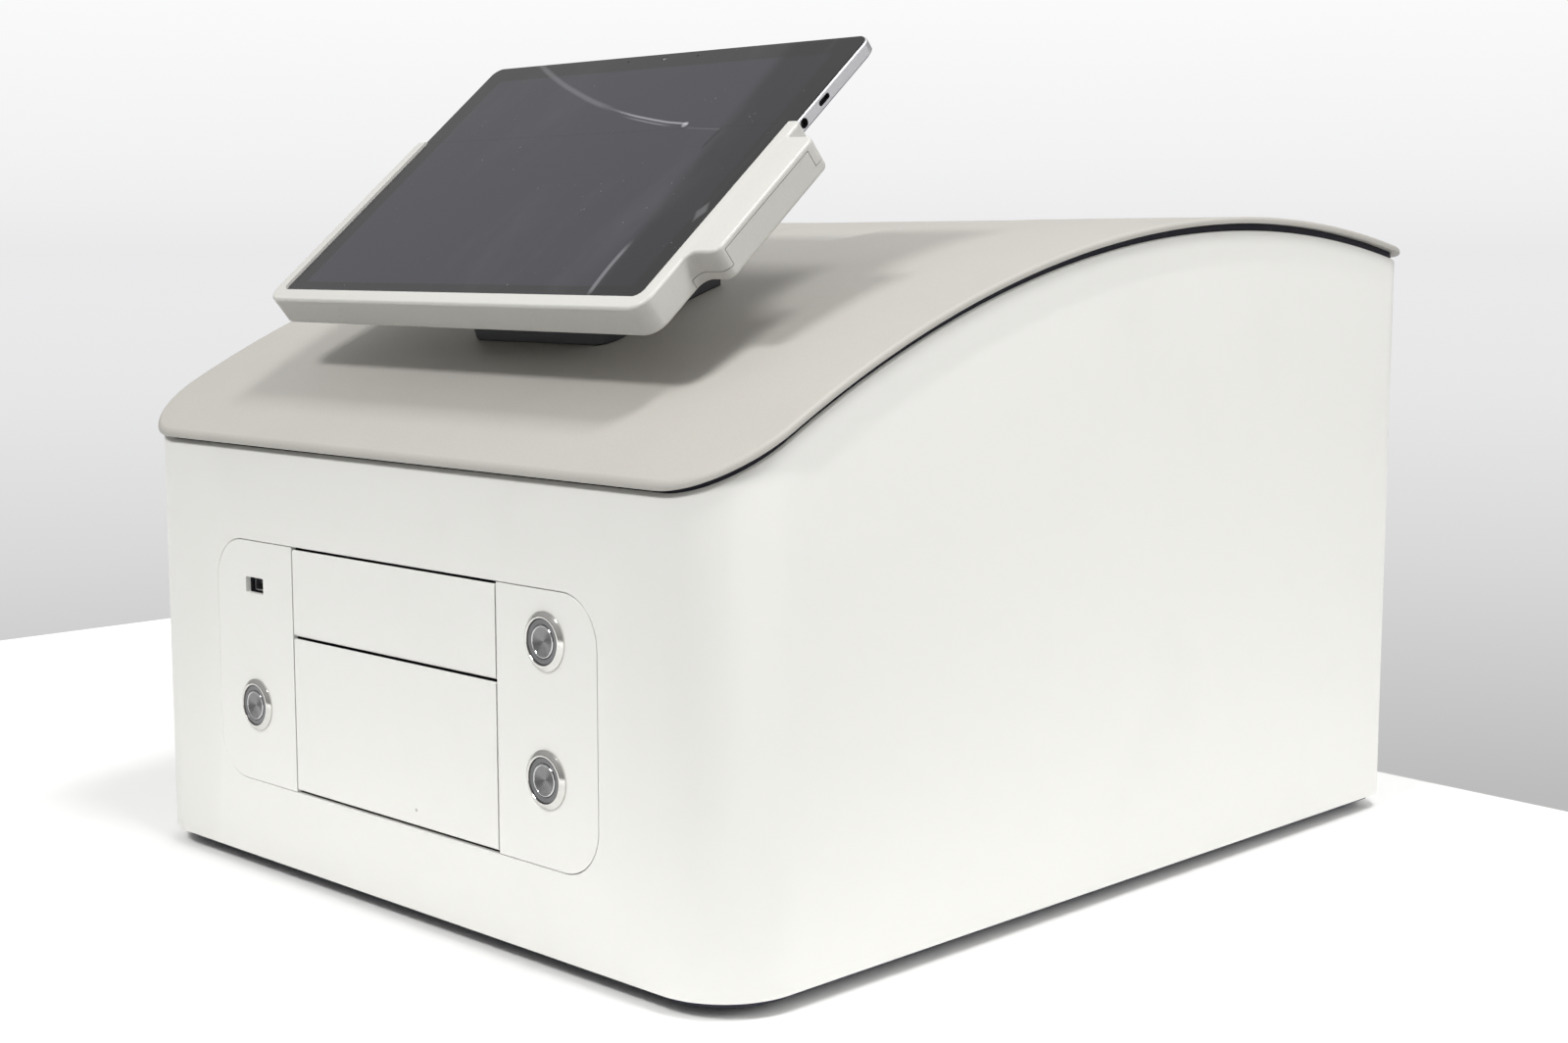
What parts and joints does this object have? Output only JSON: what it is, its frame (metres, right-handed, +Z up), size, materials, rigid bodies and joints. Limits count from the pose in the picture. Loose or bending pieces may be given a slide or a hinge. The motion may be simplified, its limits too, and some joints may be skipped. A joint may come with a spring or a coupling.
{
  "type": "liquid handling robot",
  "caption": "Bench-top liquid handling robot: arc-topped housing, stacked plate drawers beside push buttons, pressure dispensing head inside, and a tablet on a tilting stand.",
  "frame": {"origin": "on the table under the middle of the housing", "axes": "+X to the right seen from the front, +Y to the rear, +Z up"},
  "size_m": [0.48, 0.563, 0.4367],
  "materials": {
    "white": "satin white paint",
    "black": "matt black",
    "rubber": "black rubber",
    "hood": "fine-textured warm grey",
    "alu": "anodised aluminium",
    "steel": "brushed stainless",
    "polished": "polished stainless",
    "smoke": "smoked light guide",
    "dark_alu": "dark anodised aluminium",
    "motor": "black motor",
    "belt": "black belt",
    "board": "green circuit board",
    "cradle": "light grey moulded plastic",
    "tablet": "silver grey alloy",
    "glass": "black cover glass"
  },
  "bodies": {
    "chassis": {"housing_shell": "white", "rear_panel": "white", "base_plate": "black", "feet": "rubber", "hood": "hood", "hood_seal": "rubber", "hood_frame": "black", "stand_backing_plate": "alu", "bezel_left": "white", "bezel_right": "white", "front_frame": "black", "usb_port": "steel", "button_shells": "polished", "button_rings": "smoke", "button_nuts": "steel", "deck_plate": "alu", "side_frame_left": "alu", "side_frame_right": "alu", "slide_rails": "steel", "stepper_motors": "motor", "source_belt": "belt", "target_belt": "belt", "head_bridge": "alu", "air_reservoir": "steel", "air_pump": "motor", "power_supply": "alu", "control_board": "board", "fan_housing": "black", "fan_guard": "polished", "mains_inlet": "black", "network_port": "steel", "stand_foot": "black"},
    "source_drawer": {"source_drawer_front": "white", "source_carrier": "dark_alu", "source_carriages": "steel"},
    "target_drawer": {"target_drawer_front": "white", "target_carrier": "dark_alu", "target_carriages": "steel"},
    "source_drive": {"source_drive_pulley": "alu"},
    "target_drive": {"target_drive_pulley": "alu"},
    "source_idler_pulley": {"source_idler": "alu"},
    "target_idler_pulley": {"target_idler": "alu"},
    "power_button": {"button_cap_power": "steel"},
    "source_button": {"button_cap_source": "steel"},
    "target_button": {"button_cap_target": "steel"},
    "head": {"head_carriage": "steel", "press_cylinder": "alu"},
    "press": {"nozzle_manifold": "alu", "valve_bank": "black"},
    "fan": {"fan_rotor": "black"},
    "rocker": {"power_rocker": "black"},
    "stand_swivel": {"stand_yoke": "black", "tilt_pin": "steel"},
    "tablet_head": {"tilt_bracket": "black", "cradle_frame": "cradle", "cradle_cover": "cradle", "dock_plug": "black", "tablet_body": "tablet", "tablet_glass": "glass", "tablet_kickstand": "tablet"}
  },
  "joints": [
    {"name": "source_drawer_slide", "type": "slide", "parent": "chassis", "child": "source_drawer", "axis": [0, -1, 0], "range_m": [0, 0.135]},
    {"name": "target_drawer_slide", "type": "slide", "parent": "chassis", "child": "target_drawer", "axis": [0, -1, 0], "range_m": [0, 0.135]},
    {"name": "source_drive_spin", "type": "hinge", "parent": "chassis", "child": "source_drive", "pos_m": [0.101, -0.0365, 0.15805], "axis": [1, 0, 0], "range_deg": [-1080, 10]},
    {"name": "source_idler_spin", "type": "hinge", "parent": "chassis", "child": "source_idler_pulley", "pos_m": [0.101, -0.2575, 0.15805], "axis": [1, 0, 0], "range_deg": [-1080, 10]},
    {"name": "target_drive_spin", "type": "hinge", "parent": "chassis", "child": "target_drive", "pos_m": [-0.101, -0.0365, 0.07705], "axis": [1, 0, 0], "range_deg": [-1080, 10]},
    {"name": "target_idler_spin", "type": "hinge", "parent": "chassis", "child": "target_idler_pulley", "pos_m": [-0.101, -0.2575, 0.07705], "axis": [1, 0, 0], "range_deg": [-1080, 10]},
    {"name": "power_button_press", "type": "slide", "parent": "chassis", "child": "power_button", "axis": [0, 1, 0], "range_m": [0, 0.002], "stiffness_N_per_m": 1500, "springref_m": -0.001},
    {"name": "source_button_press", "type": "slide", "parent": "chassis", "child": "source_button", "axis": [0, 1, 0], "range_m": [0, 0.002], "stiffness_N_per_m": 1500, "springref_m": -0.001},
    {"name": "target_button_press", "type": "slide", "parent": "chassis", "child": "target_button", "axis": [0, 1, 0], "range_m": [0, 0.002], "stiffness_N_per_m": 1500, "springref_m": -0.001},
    {"name": "head_traverse", "type": "slide", "parent": "chassis", "child": "head", "axis": [1, 0, 0], "range_m": [-0.05, 0.05]},
    {"name": "press_stroke", "type": "slide", "parent": "head", "child": "press", "axis": [0, 0, -1], "range_m": [0, 0.005], "stiffness_N_per_m": 1000, "springref_m": -0.004},
    {"name": "fan_spin", "type": "hinge", "parent": "chassis", "child": "fan", "pos_m": [0.11, 0.2615, 0.15], "axis": [0, 1, 0], "continuous": true},
    {"name": "rocker_switch", "type": "hinge", "parent": "chassis", "child": "rocker", "pos_m": [-0.104, 0.27, 0.062], "axis": [0, 0, 1], "range_deg": [0, 14]},
    {"name": "stand_swivel_turn", "type": "hinge", "parent": "chassis", "child": "stand_swivel", "pos_m": [0.006, -0.1348, 0.30658], "axis": [0, -0.3383, 0.941], "range_deg": [-45, 45]},
    {"name": "tablet_tilt", "type": "hinge", "parent": "stand_swivel", "child": "tablet_head", "pos_m": [0.006, -0.1485, 0.3447], "axis": [1, 0, 0], "range_deg": [-20, 10]}
  ],
  "couplings": [
    {"joint": "source_drive_spin", "follows": "source_drawer_slide", "rad_per_m": -137.93},
    {"joint": "source_idler_spin", "follows": "source_drawer_slide", "rad_per_m": -137.93},
    {"joint": "target_drive_spin", "follows": "target_drawer_slide", "rad_per_m": -137.93},
    {"joint": "target_idler_spin", "follows": "target_drawer_slide", "rad_per_m": -137.93}
  ]
}
